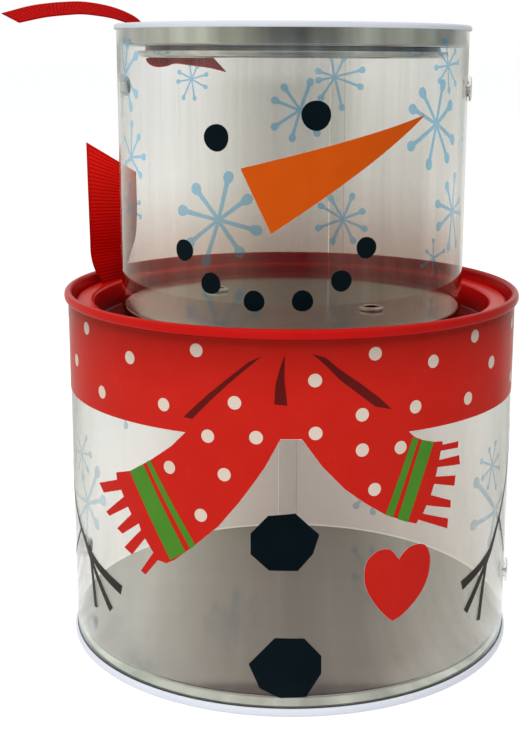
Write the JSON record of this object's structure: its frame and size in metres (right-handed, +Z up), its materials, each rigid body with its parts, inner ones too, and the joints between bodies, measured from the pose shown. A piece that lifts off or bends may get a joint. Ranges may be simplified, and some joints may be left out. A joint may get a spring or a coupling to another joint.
{
  "type": "stacking tin",
  "caption": "Stacking pair of clear round tins with tinplate ends: a head tin stands in the recessed lid of a wider body tin, and each lid has a ribbon to pull it off by.",
  "frame": {"origin": "middle of the object's footprint box on the resting plane; the tins' common axis stands 9.04 mm to the right of it, at x = 0.00904, y = 0", "axes": "+Z up along the tins' axis, -Y towards the printed front, +X to the viewer's right, away from the upper ribbon's free end"},
  "size_m": [0.1513, 0.1332, 0.1863],
  "materials": {
    "clear_plastic": "clear gloss",
    "tinplate": "satin",
    "red_enamel": "gloss",
    "ribbon_cloth": "ribbed",
    "eyelet_metal": "polished"
  },
  "bodies": {
    "body_tin": {"lower_base": "tinplate", "lower_tube": "clear_plastic", "lower_rim": "red_enamel", "lower_eyelet_right": "eyelet_metal", "lower_eyelet_left": "eyelet_metal"},
    "body_lid": {"lower_lid": "red_enamel", "lower_ribbon": "ribbon_cloth"},
    "head_tin": {"upper_base": "tinplate", "upper_tube": "clear_plastic", "upper_rim": "tinplate", "upper_eyelet_right": "eyelet_metal", "upper_eyelet_left": "eyelet_metal", "floor_eyelet_right": "eyelet_metal", "floor_eyelet_left": "eyelet_metal"},
    "head_lid": {"upper_lid": "tinplate", "upper_ribbon": "ribbon_cloth"}
  },
  "joints": [
    {"name": "body_lid_lift", "type": "slide", "parent": "body_tin", "child": "body_lid", "axis": [0, 0, 1], "range_m": [0, 0.06]},
    {"name": "head_tin_lift", "type": "slide", "parent": "body_lid", "child": "head_tin", "axis": [0, 0, 1], "range_m": [0, 0.06]},
    {"name": "head_lid_lift", "type": "slide", "parent": "head_tin", "child": "head_lid", "axis": [0, 0, 1], "range_m": [0, 0.06]}
  ]
}
